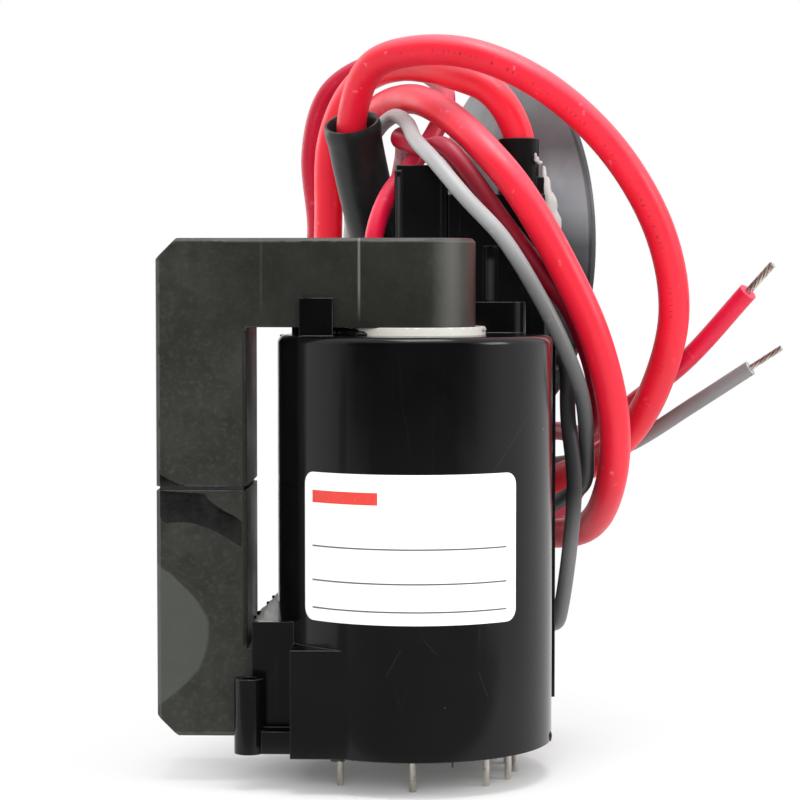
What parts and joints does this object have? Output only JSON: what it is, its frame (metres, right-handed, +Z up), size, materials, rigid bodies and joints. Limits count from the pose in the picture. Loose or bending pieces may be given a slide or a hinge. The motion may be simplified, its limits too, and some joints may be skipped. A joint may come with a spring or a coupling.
{
  "type": "flyback transformer",
  "caption": "Flyback transformer: potted drum winding on a ferrite core, focus and screen adjusters behind it, and a looped anode lead that ends in a rubber cap.",
  "frame": {"origin": "on the axis of the round leg and of the drum case, in the plane where the case sits on the board", "axes": "+Z up along the round leg, +X away from the outer leg, +Y from the drum towards the focus unit"},
  "size_m": [0.0937, 0.1026, 0.11],
  "materials": {
    "case_plastic": "glossy black moulding with fine scratches",
    "ferrite": "matt pressed and sintered ferrite, paler on worn edges",
    "spacer_film": "dark film",
    "bobbin_plastic": "off-white moulding",
    "copper": "enamelled copper wire",
    "diode_body": "moulded black",
    "resin": "cast dark epoxy",
    "tinned_wire": "tinned and slightly dull",
    "ceramic_plate": "bare alumina",
    "knob_plastic": "ivory moulding",
    "wiper_brass": "stamped spring metal",
    "red_lead": "smooth bright red sheath with pale scuffs",
    "dark_red_lead": "smooth deep red sheath",
    "grey_lead": "smooth grey sheath",
    "cap_rubber": "satin dark grey rubber, darker and glossier on the neck",
    "clip_steel": "spring steel",
    "label_paper": "bare white label"
  },
  "bodies": {
    "transformer": {"case": "case_plastic", "core_lower": "ferrite", "core_upper": "ferrite", "gap_spacers": "spacer_film", "winding_bobbin": "bobbin_plastic", "primary_winding": "copper", "auxiliary_winding": "copper", "hv_bobbin": "bobbin_plastic", "hv_windings": "copper", "hv_diodes": "diode_body", "potting_resin": "resin", "terminal_pins": "tinned_wire", "focus_case": "case_plastic", "resistor_plate": "ceramic_plate", "anode_lead": "red_lead", "focus_lead": "dark_red_lead", "screen_lead": "grey_lead", "lead_tips": "tinned_wire", "anode_cap": "cap_rubber", "anode_clip": "clip_steel", "label": "label_paper"},
    "focus_adjuster": {"focus_knob": "knob_plastic", "focus_wiper": "wiper_brass"},
    "screen_adjuster": {"screen_knob": "knob_plastic", "screen_wiper": "wiper_brass"}
  },
  "joints": [
    {"name": "focus_turn", "type": "hinge", "parent": "transformer", "child": "focus_adjuster", "pos_m": [-0.008, 0.0346, 0.04325], "axis": [0, 1, 0], "range_deg": [-120, 120]},
    {"name": "screen_turn", "type": "hinge", "parent": "transformer", "child": "screen_adjuster", "pos_m": [-0.008, 0.0346, 0.01925], "axis": [0, 1, 0], "range_deg": [-120, 120]}
  ]
}
